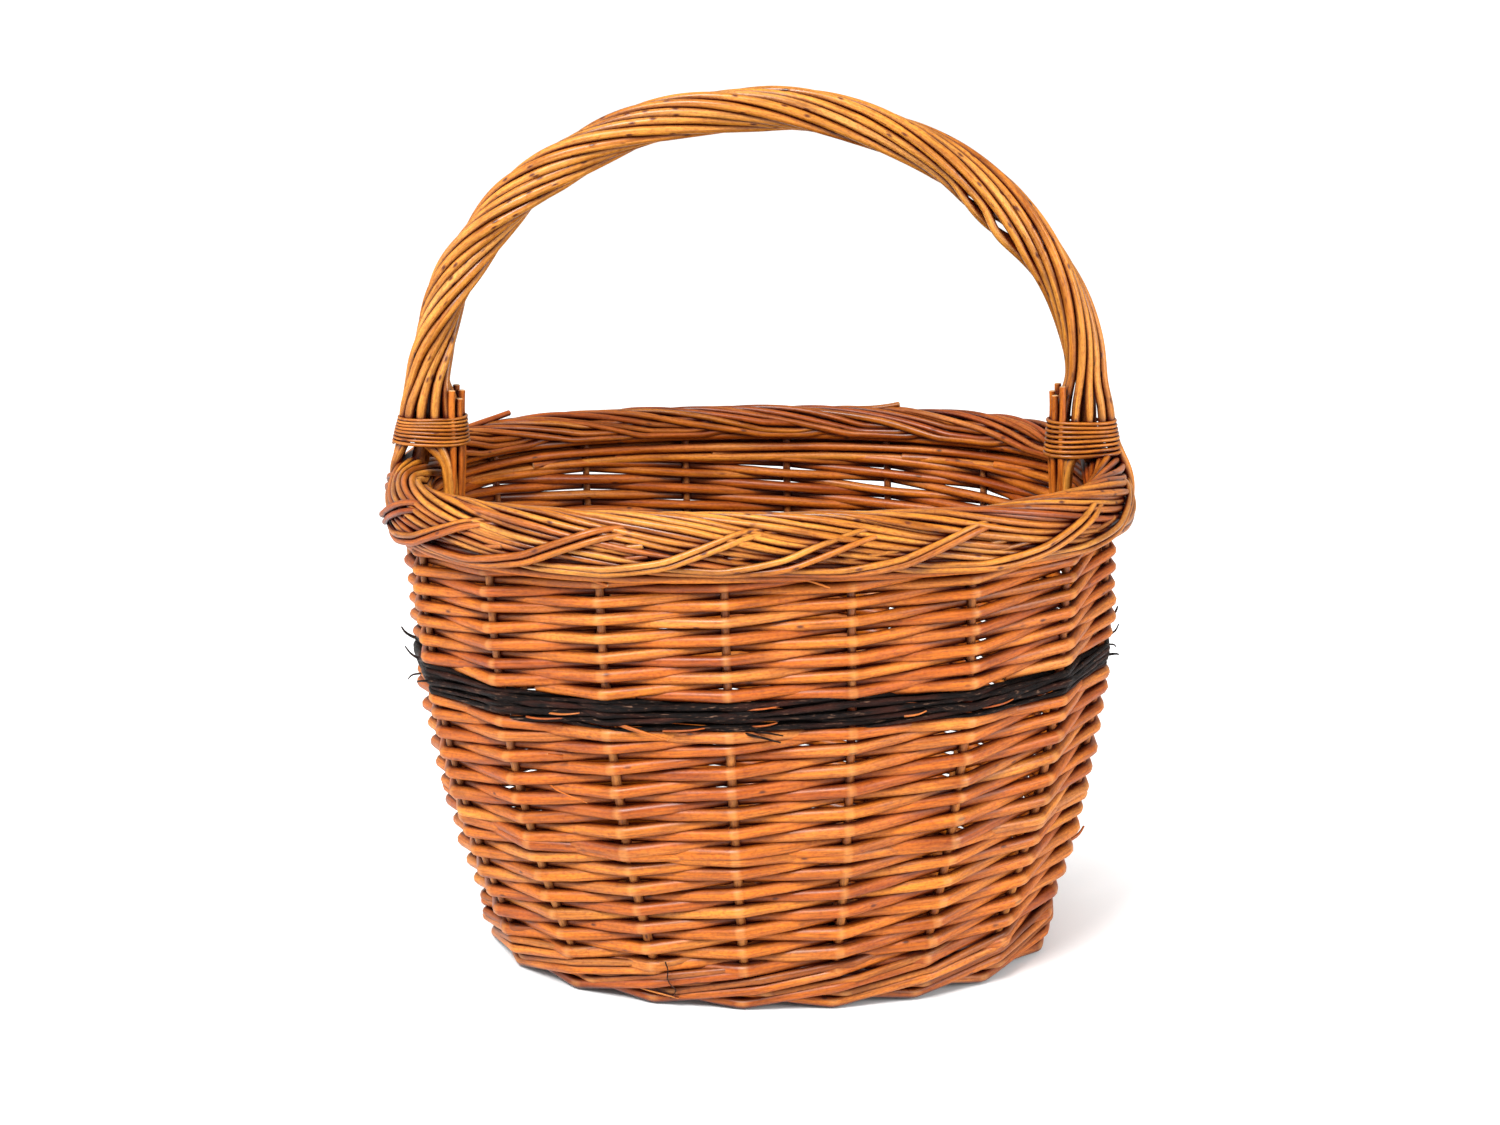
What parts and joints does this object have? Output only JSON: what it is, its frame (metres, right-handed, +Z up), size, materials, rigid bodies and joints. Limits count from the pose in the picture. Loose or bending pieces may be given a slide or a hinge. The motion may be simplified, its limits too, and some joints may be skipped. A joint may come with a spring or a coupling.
{
  "type": "woven market basket",
  "caption": "Oval woven willow basket with flared walls, a dark woven band, a plaited border and a fixed roped hoop handle bound at both ends.",
  "frame": {"origin": "centre of the bounding box at floor level, where the foot stands", "axes": "+Z up; +X along the basket's length, in the plane of the handle; +Y across the basket, to the back"},
  "size_m": [0.4416, 0.3484, 0.5006],
  "materials": {
    "wall_willow": "varnished woven willow rods, orange brown, with satin highlights",
    "stake_willow": "varnished willow stakes, satin",
    "dark_willow": "near-black willow rods in rough bark, low gloss",
    "border_willow": "varnished golden brown willow rods, glossy",
    "handle_willow": "varnished golden willow rods with small dark knots, glossy",
    "base_stick_willow": "thicker varnished willow sticks, satin"
  },
  "bodies": {
    "root": {"stake_01": "stake_willow", "stake_02": "stake_willow", "stake_03": "stake_willow", "stake_04": "stake_willow", "stake_05": "stake_willow", "stake_06": "stake_willow", "stake_07": "stake_willow", "stake_08": "stake_willow", "stake_09": "stake_willow", "stake_10": "stake_willow", "stake_11": "stake_willow", "stake_12": "stake_willow", "stake_13": "stake_willow", "stake_14": "stake_willow", "stake_15": "stake_willow", "stake_16": "stake_willow", "stake_17": "stake_willow", "stake_18": "stake_willow", "handle_rope_strand_1": "handle_willow", "handle_rope_strand_2": "handle_willow", "handle_rope_strand_3": "handle_willow", "handle_rope_strand_4": "handle_willow", "handle_rope_strand_5": "handle_willow", "handle_bow": "handle_willow", "left_handle_binding": "border_willow", "left_handle_liner_front": "handle_willow", "left_handle_liner_back": "handle_willow", "right_handle_binding": "border_willow", "right_handle_liner_front": "handle_willow", "right_handle_liner_back": "handle_willow", "foot_wale": "wall_willow", "lower_weave": "wall_willow", "dark_wale": "dark_willow", "upper_weave": "wall_willow", "border_core": "border_willow", "border_plait_strand_1": "border_willow", "border_plait_strand_2": "border_willow", "border_plait_strand_3": "border_willow", "base_long_stick_1": "base_stick_willow", "base_long_stick_2": "base_stick_willow", "base_long_stick_3": "base_stick_willow", "base_cross_stick_1": "base_stick_willow", "base_cross_stick_2": "base_stick_willow", "base_cross_stick_3": "base_stick_willow", "base_cross_stick_4": "base_stick_willow", "base_cross_stick_5": "base_stick_willow", "base_weave": "wall_willow"}
  },
  "joints": []
}
